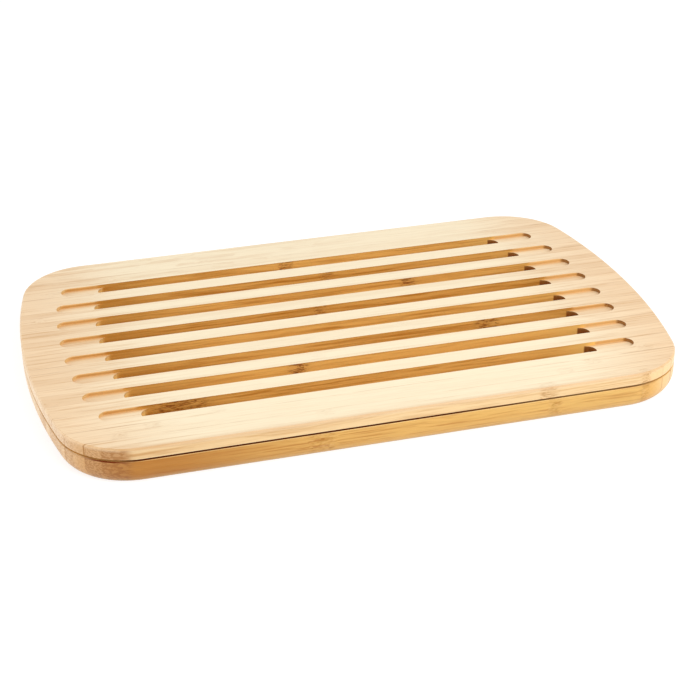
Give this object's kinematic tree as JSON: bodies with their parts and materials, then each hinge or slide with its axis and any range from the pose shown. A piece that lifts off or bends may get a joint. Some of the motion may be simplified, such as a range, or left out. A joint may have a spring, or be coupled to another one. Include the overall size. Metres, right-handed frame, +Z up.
{
  "type": "bread board with crumb tray",
  "caption": "Rectangular bamboo bread board with round corners and long crumb slots, lying on a shallow crumb tray that it lifts off.",
  "frame": {"origin": "on the table, under the middle of the board", "axes": "+X along the slots and the longer side, +Y towards the back long side, +Z up out of the cutting face"},
  "size_m": [0.4, 0.2554, 0.0228],
  "materials": {
    "bamboo_grid": "pale natural bamboo, sanded and lightly oiled",
    "bamboo_tray": "natural bamboo, sanded and lightly oiled"
  },
  "bodies": {
    "tray": {"tray_back_rail": "bamboo_tray", "tray_stave_01": "bamboo_tray", "tray_stave_02": "bamboo_tray", "tray_stave_03": "bamboo_tray", "tray_stave_04": "bamboo_tray", "tray_stave_05": "bamboo_tray", "tray_stave_06": "bamboo_tray", "tray_stave_07": "bamboo_tray", "tray_stave_08": "bamboo_tray", "tray_stave_09": "bamboo_tray", "tray_stave_10": "bamboo_tray", "tray_stave_11": "bamboo_tray", "tray_stave_12": "bamboo_tray", "tray_stave_13": "bamboo_tray", "tray_stave_14": "bamboo_tray", "tray_stave_15": "bamboo_tray", "tray_stave_16": "bamboo_tray", "tray_stave_17": "bamboo_tray", "tray_stave_18": "bamboo_tray", "tray_stave_19": "bamboo_tray", "tray_stave_20": "bamboo_tray", "tray_stave_21": "bamboo_tray", "tray_stave_22": "bamboo_tray", "tray_stave_23": "bamboo_tray", "tray_stave_24": "bamboo_tray", "tray_stave_25": "bamboo_tray", "tray_stave_26": "bamboo_tray", "tray_stave_27": "bamboo_tray", "tray_front_rail": "bamboo_tray"},
    "grid": {"grid_back_rail": "bamboo_grid", "grid_stave_01": "bamboo_grid", "grid_stave_02": "bamboo_grid", "grid_stave_03": "bamboo_grid", "grid_stave_04": "bamboo_grid", "grid_stave_05": "bamboo_grid", "grid_stave_06": "bamboo_grid", "grid_stave_07": "bamboo_grid", "grid_stave_08": "bamboo_grid", "grid_stave_09": "bamboo_grid", "grid_stave_10": "bamboo_grid", "grid_stave_11": "bamboo_grid", "grid_stave_12": "bamboo_grid", "grid_stave_13": "bamboo_grid", "grid_stave_14": "bamboo_grid", "grid_stave_15": "bamboo_grid", "grid_stave_16": "bamboo_grid", "grid_stave_17": "bamboo_grid", "grid_stave_18": "bamboo_grid", "grid_stave_19": "bamboo_grid", "grid_stave_20": "bamboo_grid", "grid_stave_21": "bamboo_grid", "grid_stave_22": "bamboo_grid", "grid_stave_23": "bamboo_grid", "grid_stave_24": "bamboo_grid", "grid_stave_25": "bamboo_grid", "grid_stave_26": "bamboo_grid", "grid_stave_27": "bamboo_grid", "grid_front_rail": "bamboo_grid"}
  },
  "joints": [
    {"name": "grid_lift", "type": "slide", "parent": "tray", "child": "grid", "axis": [0, 0, 1], "range_m": [0, 0.06]}
  ]
}
